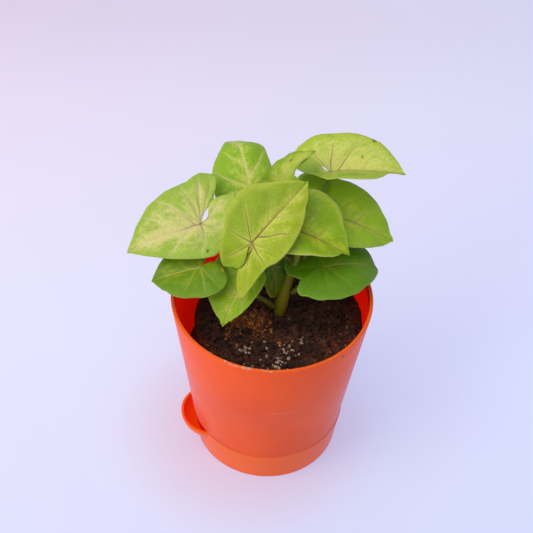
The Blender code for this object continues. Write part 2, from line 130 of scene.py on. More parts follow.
LEAVES = {
    "left": leaf((-40, 18, 144), 199, -9, -18, 42.4, (17, 28), (26, 16), spread=(-0.5, 0.75),
                 lobe_droop=(-65, 0), foot=(0.7, 165), arrive=(35, 0), inner=(6, -1),
                 notch=(4.5, 0.5), bumps=([(2.2, 0.8, -0.5), (5.1, 1.4, 4), (8.2, 0.8, -2)],
                                          [(4.2, 1.9, -1.7), (9.0, 0.7, -4.5)])),
    "back_left": leaf((-15, 46, 147), 106, 32, 0, 42.7, (19, 16), (16, 10), droop=110, hook=2, fold=0,
                      curl=-25, spread=(0.4, 0.1), foot=(0.8, 150),
                      bumps=([(2.2, 0.6, -1), (4.0, 0.8, 1)], [(2.7, 0.8, 4)])),
    "centre": leaf((-12, -1, 150), 45, 28, 22, 45, (22, 18), (22, 27), droop=12, lobe_droop=(80, 35),
                   fold=4, spread=(0.1, 0.45), taper=(0.55, 0.6), sweep=(0.15, 0), foot=(0.92, 215),
                   inner=(6.5, 3), notch=(2.3, 2.5), blunt=(0, 2.8), lift=(2.5, -2),
                   bumps=([(3.7, 0.7, 3.5), (5.2, 0.8, -1.5)], [(5.6, 1.0, -2.5)])),
    "right_middle": leaf((11.5, 15, 145), -18, -6, 10, 30.8, (21, 16), (9, 15), fold=20,
                         foot=(0.95, 350), arrive=(70, 0),
                         bumps=([(4.3, 1.5, 5.5)], [(5.4, 1.2, 4), (1.3, 0.7, -1.5)])),
    "right": leaf((32.5, 32, 140.5), -6, -10, 12, 36, (24, 19), (17, 11), fold=12, droop=30,
                  foot=(1.0, 35), inner=(3, 2), bumps=([(7.4, 1.2, 10)], [])),
    "back_right": leaf((29, 54, 153.8), 0, 11, 0, 41.2, 23, (18, 25), fold=(32, 34),
                       spread=(0.5, -0.35), lobe_droop=(5, -40), lobe_fold=(0, -25),
                       taper=(0.3, 0.65), foot=(0.9, 70), arrive=(15, 0), inner=(1, 5),
                       notch=(4.4, 2.4), blunt=(0, 3.5),
                       bumps=([(5.8, 0.7, 1.2), (2.9, 1.3, 1.8)],
                              [(1.9, 0.6, -1.6), (3.2, 0.7, 2), (4.6, 0.8, -1.5), (5.8, 1.0, -5)])),
    "young": leaf((1.8, 38.5, 153.6), 30, 75, 0, 28, (11, 10), 10, droop=66, fold=(10, 0), curl=0,
                  foot=(0.98, 130), inner=1,
                  bumps=([(3.4, 1.2, 1)], [(1.9, 0.7, -2.5), (2.7, 0.6, -6), (4.3, 0.8, 7.5)])),
    "front_left": leaf((-39, -1, 130), 187, -12, -18, 28, 18, (13, 4), foot=(0.2, 200),
                       arrive=(75, 0), inner=(4, 0), blunt=(3, 0)),
    "front": leaf((-13.6, -2.6, 127.2), 239, -29, 0, 30, (11, 20), (7, 12), spread=0,
                  foot=(0.32, 165), arrive=(60, 30), bumps=([], [(2.6, 1.0, 0.9)])),
    "shaded": leaf((-1, 5, 127), 303, -62, 0, 18.5, (10, 8), 7, foot=(0.4, 150), arrive=(50, 60),
                   bumps=([], [(1.7, 1.0, 2)])),
    "front_right": leaf((27, 7, 127), 15, 0, 8, 34, 22, (17, 18), droop=58, hook=2,
                        lobe_droop=(0, 15), spread=(-0.4, 0.3), taper=(0.5, 0), foot=(0.45, 335),
                        inner=(6, 0.3), lift=(-1.2, 1.2), blunt=(4, 0),
                        bumps=([(1.8, 0.9, 1.2), (6.2, 1.0, 6), (7.2, 1.0, 3.5), (8.1, 0.6, -1.5)],
                               [(4.2, 0.8, 1), (6.6, 1.0, -1.5)])),
}


def leaf_look(tints, pale_share, slot, **more):
    """A leaf's colours and how strongly it is marked. tints are its deep green, green, pale parts,
    margin, veins by the stalk and veins far from it, and pale_share is how much of it is pale. ruddy is
    how far from the stalk the veins keep its colour, and veins hold the places and strengths of the side
    veins, left and right. quilt, wave and ragged are the heights of its swellings and of its margin's
    waves. deep_share is how much of each half is painted deep green as painted shade, rim how strong
    the painted highlight along its very edge is, and marks are blemishes: (x, y, radius, colour)."""
    return {**dict(tints=tints, pale_share=pale_share, slot=slot, vein_depth=0.3, quilt=0.45, wave=1.0,
                   wave_rate=0.8, ragged=0.9, ruddy=16, rim=0.2, under="A0B870", deep_share=(0, 0),
                   marks=[],
                   veins=([(1.9, 0.5), (2.9, 0.6), (4.0, 0.8), (5.4, 0.6), (6.7, 0.8), (8.0, 0.5)],
                          [(1.8, 0.5), (2.8, 0.6), (3.9, 0.8), (5.3, 0.6), (6.6, 0.8), (8.1, 0.5)])),
            **more}


LOOKS = {
    "left": leaf_look(
        "7CA02A 8FB032 C6C678 8EB038 957766 D2D0A0", 0.50, "blade_pale", quilt=0.8, ruddy=14,
        marks=[(-35.2, 2.3, 0.8, "48640E")],
        veins=([(2.0, 0.5), (3.3, 0.6), (4.7, 1.0), (6.0, 0.8), (7.5, 0.5)],
               [(1.7, 0.4), (2.7, 0.5), (3.6, 0.9), (4.7, 0.5), (6.0, 0.9), (7.6, 0.4)])),
    "back_left": leaf_look(
        "6C9A12 82AE1A C4CE56 86AE34 C6C98E C6CC90", 0.36, "blade_green", quilt=0.6,
        veins=([(1.8, 0.3), (2.9, 0.5), (4.0, 0.9), (5.4, 0.4), (6.8, 0.5)],
               [(2.0, 0.4), (3.4, 0.9), (4.6, 0.4), (6.0, 0.5), (7.6, 0.3)])),
    "centre": leaf_look(
        "7A9A14 96AC16 BECA50 A6B838 7A4A34 99804C", 0.40, "blade_lime",
        deep_share=(0.7, 0), ruddy=22,
        veins=([(1.9, 0.35), (2.9, 0.45), (3.95, 1.0), (5.5, 0.8), (7.2, 0.8)],
               [(1.7, 0.35), (2.6, 0.5), (3.5, 1.0), (4.4, 0.4), (5.4, 0.9), (7.2, 0.4),
                (8.7, 0.6)])),
    "right_middle": leaf_look(
        "6A900C 7CA406 AEC02A A2B838 86563F 9C8654", 0.34, "blade_lime", rim=0.6,
        ruddy=22, veins=([(1.9, 0.3), (2.9, 0.4), (4.1, 0.5), (5.6, 0.3), (7.2, 0.3)],
                         [(1.9, 0.3), (2.95, 0.5), (4.2, 0.4), (5.8, 0.3)])),
    "right": leaf_look(
        "749C16 8CB61E BAC03A 8EB634 6F7A46 96A95A", 0.28, "blade_green",
        veins=([(1.8, 0.5), (2.85, 0.8), (3.9, 0.5), (5.4, 0.6), (7.0, 0.4)],
               [(1.9, 0.4), (3.0, 0.4), (4.4, 0.4), (6.0, 0.3)])),
    "back_right": leaf_look(
        "84A62E 9EBA36 C6CE66 A2BA26 9A6F58 AE9C66", 0.62, "blade_pale",
        deep_share=(0, 0.8), wave=1.5, ruddy=20,
        marks=[(52.6, 69.6, 1.1, "7A5A10"), (46.1, 60.5, 0.7, "9A8232")],
        veins=([(1.6, 0.3), (2.6, 0.3), (3.5, 1.0), (4.6, 1.0), (6.7, 0.8), (8.0, 0.3)],
               [(1.8, 0.3), (3.1, 0.4), (4.6, 0.5), (6.3, 0.5)])),
    "young": leaf_look(
        "6E9A10 86A620 AEBE44 749A16 A9A868 B9C070", 0.5, "blade_lime", quilt=0.3,
        under="6E9418", deep_share=(0, 0.5), marks=[(6.6, 46.0, 0.6, "7E6A14")]),
    "front_left": leaf_look(
        "4E7404 5E8602 8C9E12 689010 A2AE58 9DB052", 0.30, "blade_green",
        marks=[(-26.7, -2.9, 0.9, "C0A030"), (-46.2, 1.7, 0.7, "6A6A20"),
               (-34.8, -9.5, 0.5, "4A5A10")],
        veins=([(2.0, 0.3), (3.6, 0.4), (5.15, 0.5), (6.6, 0.3)],
               [(1.9, 0.3), (3.1, 0.3), (4.6, 0.3), (6.4, 0.3)])),
    "front": leaf_look(
        "6A9208 7EAA0A B4BE38 8AAE20 B4B878 BEC088", 0.26, "blade_green",
        veins=([(1.9, 0.3), (2.9, 0.35), (4.2, 0.4), (6.0, 0.3)],
               [(1.9, 0.3), (2.9, 0.35), (4.2, 0.4), (6.0, 0.3)])),
    "shaded": leaf_look("365A04 4C7608 68900E 84A020 7A8830 7A8830", 0.24, "blade_deep"),
    "front_right": leaf_look(
        "467006 568602 769016 629018 9AA23C 8C9A40", 0.22, "blade_deep",
        veins=([(1.7, 0.3), (3.2, 0.25), (5.0, 0.25), (7.0, 0.2)],
               [(2.4, 0.25), (3.65, 0.4), (5.2, 0.25), (7.0, 0.2)])),
}


# ---------------------------------------------------------------- blades

BLADE_THICKNESS = 0.4 * MM
ROWS_PER_STEP = 20  # rows of a blade between neighbouring points of its outline
ACROSS = 27  # steps from the midrib to the margin
ACROSS_POWER = 1.35  # above 1, the steps by the midrib are the finest
VEIN_SWING = 0.45  # how far along the outline a side vein has swung towards the tip by the margin
OUTLINE_END = len(BLADE_OUTLINE) - 1
LOBE_END = 6.5  # where, in points of the outline, a lobe's end turns into its inner side
# Half widths, in millimetres, of the midrib and of a side vein, and what each loses along itself
RIB_WIDTH, RIB_TAPER, LEAST_RIB_WIDTH = 0.82, 0.56, 0.28
SIDE_WIDTH, SIDE_TAPER = 0.62, 0.32
# Half widths of the grooves they are pressed into
RIB_GROOVE, SIDE_GROOVE = 0.8, 0.7
# Steps along the outline and across a row that the blade's local size is taken from
NEAR_ALONG, NEAR_ACROSS = 0.05, 0.02


def outline_point(place):
    """The outline at a place counted in its points, on a Catmull-Rom curve through them."""
    first = max(0, min(int(place), OUTLINE_END - 1))
    t = place - first
    corners = [Vector(point) for point in BLADE_OUTLINE]
    padded = [2 * corners[0] - corners[1]] + corners + [2 * corners[-1] - corners[-2]]
    before, start, end, after = padded[first:first + 4]
    slope = (end - before) * t
    bend = (2 * before - 5 * start + 4 * end - after) * t ** 2
    turn = (3 * start - before - 3 * end + after) * t ** 3
    return (2 * start + slope + bend + turn) / 2


def bent(shape, along, across, half):
    """Where a point of the flat blade lies once it is bent, with X along the midrib and Z up."""
    reach = abs(across) / (shape["width"][half] * MM)
    behind = max(0, -along / (shape["lobe"][half] * MM))
    curl = shape["curl"][half] * reach / 2
    rise = math.radians(shape["fold"][half] + curl + shape["lobe_fold"][half] * behind)
    if along >= 0:
        hook = shape["hook"]
        bow = -math.radians(shape["droop"]) * (along / (shape["length"] * MM)) ** hook
    else:
        hook = 1
        bow = math.radians(shape["lobe_droop"][half]) * behind
    spine = Matrix.Rotation(-bow / (1 + hook), 3, "Y") @ Vector((along, 0, 0))
    section = Vector((0, math.copysign(math.cos(rise), across), math.sin(rise))) * abs(across)
    return spine + Matrix.Rotation(-bow, 3, "Y") @ section


def leaf_turn(shape):
    angles = (shape["roll"], -shape["pitch"], shape["heading"])
    return Euler([math.radians(angle) for angle in angles], "XYZ").to_matrix()


def margin_point(shape, point, half):
    """The flat place of a point of the outline, with its lobe part leaning outwards."""
    side = -1 if half else 1
    reach = shape["lobe"][half] if point.x < 0 else shape["length"]
    behind = max(0, -point.x)
    lean = shape["spread"][half] * behind ** 1.3 * shape["lobe"][half]
    across = point.y * shape["width"][half] * (1 - shape["taper"][half] * behind)
    along = point.x * reach + shape["sweep"][half] * across
    return Vector((along, side * (across + lean))) * MM


def lateness(place):
    """0 up to the end of the lobe, rising to 1 on the lobe's inner side."""
    return max(0, min(1, (place - LOBE_END) / (OUTLINE_END - LOBE_END)))


def blade_row(shape, place, half):
    """A row of the flat blade: its foot by the midrib, its way to the margin, the bulge and the notch of
    a lobe's inner side, and how far the margin is pushed out."""
    point = outline_point(place)
    foot = Vector((max(0, point.x - VEIN_SLANT * point.y) * shape["length"], 0)) * MM
    way = margin_point(shape, point, half) - foot
    late = lateness(place)
    bulge, notch, reach = Vector((0, 0)), Vector((0, 0)), Vector((0, 0))
    if way.length > 0.5 * MM:
        side = -1 if half else 1
        inward = Vector((-way.y, way.x)).normalized() * side
        bulge = inward * shape["inner"][half] * MM * late ** 1.5 * 4
        notch = inward * -shape["notch"][half] * MM * late ** 3
        swell = sum(size * math.exp(-((place - middle) / spread) ** 2)
                    for middle, spread, size in shape["bumps"][half])
        swell = max(swell, -0.9 * way.length / MM)
        reach = way.normalized() * swell * MM + inward * shape["blunt"][half] * MM * late ** 2
    return foot, way, bulge, notch, reach


def along_row(row, share):
    foot, way, bulge, notch, reach = row
    by_stalk = (share / 0.18 * math.exp(1 - share / 0.18)) ** 2
    return foot + way * share + bulge * share * (1 - share) + notch * by_stalk + reach * share ** 2


def vein_place(veins, place):
    """How many veins a row has passed, and the strength and spacing of the veins about it."""
    marks = [(-1, 0)] + veins + [(OUTLINE_END + 1, 0)]
    for number, (start, end) in enumerate(zip(marks, marks[1:])):
        if place <= end[0]:
            share = (place - start[0]) / (end[0] - start[0])
            return number + share, (start if share < 0.5 else end)[1], end[0] - start[0]
    return len(marks) - 1, 0, 1


def blade_mesh(name, shape, look):
    """A fine blade: a grid laid over the outline, bent, and pressed along its veins."""
    sheet = bmesh.new()
    rows = OUTLINE_END * ROWS_PER_STEP
    bmesh.ops.create_grid(sheet, x_segments=2 * ACROSS, y_segments=rows, size=1)
    rib, zone, run = (sheet.verts.layers.float_vector.new(kept) for kept in ("rib", "zone", "run"))
    deep = sheet.verts.layers.float.new("deep")
    seed = sum(ord(letter) for letter in name)
    turn = leaf_turn(shape)
    at = Vector(shape["at"]) * MM
    press, found = {}, {}
    for vert in sheet.verts:
        half = 1 if vert.co.x > 0 else 0
        share = abs(vert.co.x) ** ACROSS_POWER
        place = (1 - vert.co.y) / 2 * OUTLINE_END
        key = (round(place * rows), half)
        if key not in found:
            near = (max(0, place - NEAR_ALONG), place, min(OUTLINE_END, place + NEAR_ALONG))
            found[key] = [blade_row(shape, row_place, half) for row_place in near]
        before, row, after = found[key]
        flat = along_row(row, share)
        way = (along_row(row, min(1, share + NEAR_ACROSS))
               - along_row(row, max(0, share - NEAR_ACROSS)))
        across = along_row(after, share) - along_row(before, share)
        way_size = max(way.length, 1e-7)
        # Millimetres between rows that lie one point of the outline apart
        step = abs(way.x * across.y - way.y * across.x) / way_size / MM / (2 * NEAR_ALONG)
        if abs(vert.co.x) < 1e-6:
            flat.y = 0
        wander = noise.noise(Vector((place * 0.9, share * 3, seed))) * 0.12
        swing = VEIN_SWING * share ** 2 * max(0.2, 1 - place / OUTLINE_END)
        passed, strength, spacing = vein_place(look["veins"][half], place + swing + wander)
        gap = abs(passed - round(passed)) * spacing * step
        stem_way = flat.length / MM
        rib_width = max(LEAST_RIB_WIDTH, RIB_WIDTH - RIB_TAPER * flat.x / MM / shape["length"])
        side_width = SIDE_WIDTH - SIDE_TAPER * share
        rib_gap = math.hypot(flat.y, min(0, flat.x)) / MM
        vert[rib] = (rib_gap / rib_width, passed, spacing * step / side_width)
        vert[zone] = (strength * (1 - share ** 4), share, math.exp(-(stem_way / look["ruddy"]) ** 2))
        vert[run] = (passed * 1.1, share * 1.3, seed % 97)
        # Painted shade: deep_share says how much of each half is painted towards the deep green for the
        # shade it lies in
        vert[deep] = look["deep_share"][half] * min(1, share * 3)
        groove = math.exp(-(rib_gap / RIB_GROOVE) ** 2) * min(1, share * 30 + 0.55)
        side_groove = math.exp(-(gap / SIDE_GROOVE) ** 2) * strength * (1 - share ** 3)
        swell = math.sin(math.pi * (passed % 1)) ** 2 * min(1, step * spacing / 5)
        swell *= math.sin(math.pi * min(1, share) ** 1.2) * look["quilt"]
        wave = noise.noise(Vector((place * look["wave_rate"], half * 7, seed)))
        wave *= look["wave"] * share ** 3
        ripple = noise.noise(Vector((*(flat / MM / 8), seed))) * 0.6 * share
        ease = min(1, stem_way / 5)
        lift = shape["lift"][half] * lateness(place) ** 2 * min(1, share * 3)
        press[vert] = ((swell + wave + ripple) * ease + lift
                       - look["vein_depth"] * (groove + 0.6 * side_groove)) * MM
        ragged = noise.fractal(Vector((place * 1.1, half * 5 + 3, seed)), 1, 2, 3) * look["ragged"]
        dent = max(min(0, ragged - 0.1) * MM, -0.2 * row[1].length)
        flat += way / way_size * dent * share ** 4
        vert.co = at + turn @ bent(shape, flat.x, flat.y, half)
    bmesh.ops.remove_doubles(sheet, verts=sheet.verts, dist=0.0005 * MM)
    bmesh.ops.recalc_face_normals(sheet, faces=sheet.faces)
    sheet.normal_update()
    up = turn @ Vector((0, 0, 1))
    if sum(face.normal.dot(up) for face in sheet.faces) < 0:
        bmesh.ops.reverse_faces(sheet, faces=sheet.faces)
        sheet.normal_update()
    for vert in sheet.verts:
        vert.co += vert.normal * press[vert]
    return sheet


def leaf_skin(name, look, under):
    """Living leaf: a waxy, slightly see-through skin. The top has a soft shine, the underside is pale
    and matt; veins are pressed in and keep the colour of the stalk near it."""
    made, shader, add = finish(name, Roughness=0.62 if under else 0.46, IOR=1.42,
                               Specular_IOR_Level=0.3, Subsurface_Weight=0.18,
                               Subsurface_Scale=0.6 * MM, Subsurface_Radius=(1.0, 1.0, 0.25))
    deep, green, pale, margin, by_stalk, far_vein = (colour(code) for code in look["tints"].split())
    place = add("TexCoord").outputs["Object"]
    rib, zone, run = (add("Attribute", attribute_name=kept).outputs["Vector"]
                      for kept in ("rib", "zone", "run"))
    rib, zone = (add("SeparateXYZ", {0: kept}).outputs for kept in (rib, zone))
    # Streaks follow the side veins, clouds are about 9 mm across and flecks about 1 mm
    streak = add("TexNoise", {"Vector": run, "Scale": 1.9, "Detail": 5.0, "Roughness": 0.6})
    cloud, fleck = (add("TexNoise", {"Vector": place, "Scale": 1 / size, "Detail": 3.0})
                    for size in (9 * MM, 1.1 * MM))
    # Paler towards the midrib and between the clouds
    mixed = add("MapRange", {0: zone["Y"], 3: 0.22, 4: -0.22})
    mixed = add("Math", {0: streak, 1: mixed}, operation="ADD")
    for pattern, strength in ((cloud, 0.7), (fleck, 0.6)):
        mixed = add("Math", {0: pattern, 1: strength, 2: mixed}, operation="MULTIPLY_ADD")
    middle = 1.645 - look["pale_share"]
    paler = add("MapRange", {0: mixed, 1: middle - 0.24, 2: middle + 0.24}, **SMOOTH)
    # Painted shade: a half that lies in shade is painted towards the deep green, in clouds
    darker = add("Math", {0: add("Attribute", attribute_name="deep").outputs["Fac"], 1: cloud})
    darker = add("Math", {0: darker, 1: 2.0}, use_clamp=True)
    edge = add("Math", {0: cloud, 1: 0.25, 2: zone["Y"]}, operation="MULTIPLY_ADD")
    edge = add("MapRange", {0: edge, 1: 0.90, 2: 1.10, 4: 0.85}, **SMOOTH)
    # Deeper green dapples of about 3 mm, drawn out between the side veins
    dapple = add("TexNoise", {"Vector": run, "Scale": 6.5, "Detail": 4.0, "Roughness": 0.7})
    dapple = add("MapRange", {0: dapple, 1: 0.50, 2: 0.66, 4: 0.46}, **SMOOTH)
    # Crisp veins, with a paler band beside each: 1 is the edge of a vein
    rib_line = add("Math", {0: rib["X"]}, operation="ABSOLUTE")
    rib_line = add("MapRange", {0: rib_line, 1: 1.1, 2: 0.35}, **SMOOTH)
    side_gap = add("Math", {0: rib["Y"], 1: 0.5}, operation="PINGPONG")
    side_gap = add("Math", {0: side_gap, 1: rib["Z"]})
    side_line = add("MapRange", {0: side_gap, 1: 1.2, 2: 0.3}, **SMOOTH)
    halo = add("MapRange", {0: side_gap, 1: 5.0, 2: 0.0, 4: 0.45}, **SMOOTH)
    side_line, halo = (add("Math", {0: line, 1: zone["X"]}) for line in (side_line, halo))
    line = add("Math", {0: rib_line, 1: side_line}, operation="MAXIMUM")
    line = add("Math", {0: line, 1: 0.35 if under else 0.85})
    vein = add("Mix", {"Factor": zone["Z"], "A": far_vein, "B": by_stalk})
    # The finest veins are a net of 2 mm meshes
    net = add("TexVoronoi", {"Vector": place, "Scale": 1 / (2.1 * MM)}, feature="DISTANCE_TO_EDGE")
    net = add("MapRange", {0: net, 1: 0.09, 2: 0.0}, **SMOOTH)
    # The very edge is painted pale: a painted highlight for the light its thin edge catches and lets
    # through
    rim = add("MapRange", {0: zone["Y"], 1: 0.955, 2: 1.0, 4: look["rim"]}, **SMOOTH)
    # Tiny brown freckles of 0.4 mm lie about 5 mm apart
    freckle = add("TexVoronoi", {"Vector": place, "Scale": 1 / (6 * MM)})
    freckle = add("MapRange", {0: freckle, 1: 0.085, 2: 0.04, 4: 0.4}, **SMOOTH)
    layers = [(paler, pale), (darker, deep), (edge, margin), (dapple, deep), (halo, pale), (line, vein),
              (add("Math", {0: net, 1: 0.15}), pale), (rim, colour("C6CE78")),
              (freckle, colour("5C6A1A"))]
    plan = add("VectorMath", {0: place, 1: (1, 1, 0)}, operation="MULTIPLY")
    for x, y, size, tint in look["marks"]:
        gap = add("VectorMath", {0: plan, 1: (x * MM, y * MM, 0)}).outputs["Value"]
        gap = add("Math", {0: fleck, 1: 0.8 * MM, 2: gap}, operation="MULTIPLY_ADD")
        spot = add("MapRange", {0: gap, 1: (size + 0.8) * MM, 2: (size + 0.2) * MM, 4: 0.8}, **SMOOTH)
        layers.append((spot, colour(tint)))
    if under:
        layers.append((0.35, colour(look["under"])))
    skin = green
    for share, tint in layers:
        skin = add("Mix", {"Factor": share, "A": skin, "B": tint})
    cells = add("TexVoronoi", {"Vector": place, "Scale": 1 / (0.5 * MM)})
    height = add("Math", {0: cells, 1: 0.4, 2: net}, operation="MULTIPLY_ADD")
    bump = add("Bump", {"Height": height, "Strength": 0.45, "Distance": 0.07 * MM})
    feed(shader, {"Base Color": skin, "Normal": bump})
    return made


def new_object(name, shape):
    """An object at the origin, made from a bmesh."""
    mesh = bpy.data.meshes.new(name)
    shape.to_mesh(mesh)
    shape.free()
    made = bpy.data.objects.new(name, mesh)
    bpy.context.scene.collection.objects.link(made)
    return made


def dress(piece, skins, slot, *nodes):
    """Gives the piece its finishes, puts it under the root body and hides the pieces it stands for."""
    piece.data.shade_smooth()
    piece.data.materials.clear()
    for skin in skins:
        piece.data.materials.append(skin)
    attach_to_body(piece, "root")
    if nodes:
        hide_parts(*nodes)
    return piece


def make_blades():
    for name, shape in LEAVES.items():
        look = LOOKS[name]
        skins = [leaf_skin(name + "_leaf_top", look, False),
                 leaf_skin(name + "_leaf_under", look, True)]
        blade = dress(new_object("blade_" + name, blade_mesh(name, shape, look)), skins, look["slot"],
                      "leaf_" + name)
        wall = blade.modifiers.new("thickness", "SOLIDIFY")
        wall.thickness = BLADE_THICKNESS
        wall.offset = 0
        wall.material_offset = 1
        wall.use_even_offset = False


# ---------------------------------------------------------------- stem and stalks

STEM_FOOT = Vector((4.5, 1, 94)) * MM
STEM_TOP = Vector((13, 10, 134)) * MM
STEM_FOOT_RADIUS = 4.4 * MM
STEM_TOP_RADIUS = 2.2 * MM
STEM_LEAN = 1.5  # above 1, it leans more the higher it gets
SOLID_BLADE_THICKNESS = 0.6 * MM
SOLID_GAP = 0.3 * MM  # between the solids of a stalk and of its blade or the stem
STALK_TOP_RADIUS = 1.0 * MM
STALK_FOOT_RADIUS = 1.5 * MM
STALK_LEAVING_RISE = 60
# How much of a stalk's span pulls it straight out of the stem, and straight into its blade
STALK_LEAVING_SHARE = 0.35
STALK_ARRIVING_SHARE = 0.3
STALK_STATIONS = 40
TUBE_SIDES = 20
RUDDY_STALKS = ("left", "centre", "right_middle")
# Where along a stalk its sheath and its taper end, and the flare by its blade starts
SHEATH_END, TAPER_END, FLARE_START = 0.35, 0.6, 0.93
STALK_FLATNESS = 0.9


def stem_point(share):
    rise = STEM_TOP - STEM_FOOT
    lean = max(0, share) ** STEM_LEAN
    return STEM_FOOT + Vector((rise.x * lean, rise.y * lean, rise.z * share))


def stem_radius(share):
    return STEM_FOOT_RADIUS + (STEM_TOP_RADIUS - STEM_FOOT_RADIUS) * share


def direction(azimuth, rise):
    turn, lift = math.radians(azimuth), math.radians(rise)
    return Vector((math.cos(lift) * math.cos(turn), math.cos(lift) * math.sin(turn), math.sin(lift)))


def stalk_route(shape):
    """Points of the stalk's bow from inside the stem's skin to the blade, as its solid runs."""
    attach = Vector(shape["at"]) * MM
    share, side = shape["foot"]
    base = stem_point(share)
    lean = STALK_FOOT_RADIUS * math.sin(math.radians(STALK_LEAVING_RISE))
    start = base + direction(side, 0) * (stem_radius(share) + SOLID_GAP + lean)
    rise, turn = shape["arrive"]
    way_out = math.degrees(math.atan2(attach.y - base.y, attach.x - base.x))
    end_way = direction(way_out + turn, rise)
    normal = leaf_turn(shape) @ Vector((0, 0, 1))
    tilt = math.sqrt(max(0, 1 - end_way.dot(normal) ** 2))
    end = attach - normal * (SOLID_BLADE_THICKNESS / 2 + SOLID_GAP + STALK_TOP_RADIUS * tilt)
    span = (end - start).length
    leave = start + direction(side, STALK_LEAVING_RISE) * span * STALK_LEAVING_SHARE
    arrive = end - end_way * span * STALK_ARRIVING_SHARE
    points = []
    for step in range(STALK_STATIONS + 1):
        t = step / STALK_STATIONS
        first, middle, last = start.lerp(leave, t), leave.lerp(arrive, t), arrive.lerp(end, t)
        points.append(first.lerp(middle, t).lerp(middle.lerp(last, t), t))
    return points, attach, base


def tube(stations):
    """A closed tube from (point, radius, flattening) stations, with each ring's share along it and
    its skin's place kept for the finish."""
    skin = bmesh.new()
    run = skin.verts.layers.float_vector.new("run")
    rings = []
    side = None
    for index, (point, radius, flatten) in enumerate(stations):
        before = stations[max(0, index - 1)][0]
        after = stations[min(len(stations) - 1, index + 1)][0]
        way = (after - before).normalized()
        side = side or Vector((0.31, 0.95, 0.02))
        side = (side - way * side.dot(way)).normalized()
        turn = Matrix((side, way.cross(side), way)).transposed().to_4x4()
        place = Matrix.Translation(point) @ turn @ Matrix.Diagonal((1, flatten, 1, 1))
        ring = bmesh.ops.create_circle(skin, segments=TUBE_SIDES, radius=radius, matrix=place)
        for number, vert in enumerate(ring["verts"]):
            angle = math.tau * number / TUBE_SIDES
            vert[run] = (math.cos(angle), math.sin(angle), index / (len(stations) - 1))
        rings.append(sorted({edge for vert in ring["verts"] for edge in vert.link_edges},
                            key=lambda edge: edge.index))
    for lower, upper in zip(rings, rings[1:]):
        bmesh.ops.bridge_loops(skin, edges=lower + upper)
    bmesh.ops.contextual_create(skin, geom=rings[0])
    bmesh.ops.contextual_create(skin, geom=rings[-1])
    bmesh.ops.recalc_face_normals(skin, faces=skin.faces)
    return skin


def stalk_skin(name, *tints):
    """Green plant skin: smooth and waxy, with fine lengthwise fibres. tints are those of its foot, its
    middle and its end by the blade, which can be ruddy."""
    made, shader, add = finish(name, Roughness=0.42, IOR=1.42, Subsurface_Weight=0.12,
                               Subsurface_Scale=0.8 * MM)
    foot, middle, end = (colour(code) for code in tints)
    run = add("Attribute", attribute_name="run").outputs["Vector"]
    along = add("SeparateXYZ", {0: run}).outputs["Z"]
    fibre = add("Mapping", {"Vector": run, "Scale": (6.0, 6.0, 2.5)})
    fibre = add("TexNoise", {"Vector": fibre, "Scale": 1.6, "Detail": 4.0})
    # Clouds of about 5 mm break up the fibres
    cloud = add("TexNoise", {"Vector": add("TexCoord").outputs["Object"], "Scale": 1 / (5 * MM),
                             "Detail": 3.0})
    lower = add("MapRange", {0: along, 2: 0.4}, **SMOOTH)
    upper = add("MapRange", {0: along, 1: 0.55}, **SMOOTH)
    depth = add("Math", {0: fibre, 1: cloud})
    depth = add("MapRange", {0: depth, 1: 0.15, 2: 0.42, 3: 0.55, 4: 0.0})
    skin = foot
    for share, tint in ((lower, middle), (upper, end), (depth, foot)):
        skin = add("Mix", {"Factor": share, "A": skin, "B": tint})
    bump = add("Bump", {"Height": fibre, "Strength": 0.35, "Distance": 0.12 * MM})
    feed(shader, {"Base Color": skin, "Normal": bump})
    return made


def make_stalks():
    """Each stalk widens into a sheath that clasps the stem, and flares where it meets its blade."""
    red = stalk_skin("stalk_ruddy", "545C10", "70741E", "8A7844")
    green = stalk_skin("stalk_green", "526010", "6E7E20", "7C8C30")
    for name, shape in LEAVES.items():
        points, attach, base = stalk_route(shape)
        stations = []
        for index, point in enumerate(points):
            share = index / STALK_STATIONS
            narrowed = (STALK_TOP_RADIUS - STALK_FOOT_RADIUS) * min(1, share / TAPER_END)
            sheath = 0.35 * max(0, 1 - share / SHEATH_END) ** 1.5
            flare = 0.35 * max(0, (share - FLARE_START) / (1 - FLARE_START)) ** 2
            radius = (STALK_FOOT_RADIUS + narrowed) * (1 + sheath + flare) * 0.92
            stations.append((point, radius, STALK_FLATNESS))
        inward = (base - points[0]) * 0.45
        stations.insert(0, (points[0] + inward - Vector((0, 0, 1.2)) * MM, STALK_FOOT_RADIUS * 0.9,
                            STALK_FLATNESS))
        normal = leaf_turn(shape) @ Vector((0, 0, 1))
        stations.append((attach - normal * 0.25 * MM, STALK_TOP_RADIUS * 0.8, STALK_FLATNESS))
        skin = red if name in RUDDY_STALKS else green
        dress(new_object("petiole_" + name, tube(stations)), [skin], "stalk_skin", "stalk_" + name)


def make_stem():
    """A short stem, swollen at each ring where a stalk leaves it, and narrow where it is rooted."""
    skin = stalk_skin("stem_skin", "60640C", "7E8E14", "8A9820")
    stations = [(STEM_FOOT - Vector((0, 0, 11.5)) * MM, 2.8 * MM, 1)]
    for step in range(STALK_STATIONS + 1):
        share = step / STALK_STATIONS
        ring = sum(math.exp(-((share - shape["foot"][0]) / 0.02) ** 2) for shape in LEAVES.values())
        swell = 1 + 0.05 * min(1, ring) + 0.03 * noise.noise(Vector((share * 9, 2, 0)))
        waist = 1 - 0.34 * math.exp(-share / 0.09)
        stations.append((stem_point(share), stem_radius(share) * 0.96 * swell * waist, 0.94))
    stations.append((STEM_TOP + Vector((0, 0, 0.9)) * MM, STEM_TOP_RADIUS * 0.8, 1))
    stations.append((STEM_TOP + Vector((0, 0, 1.4)) * MM, STEM_TOP_RADIUS * 0.45, 1))
    dress(new_object("plant_stem", tube(stations)), [skin], "stem_skin", "stem")


# ---------------------------------------------------------------- pot and tray

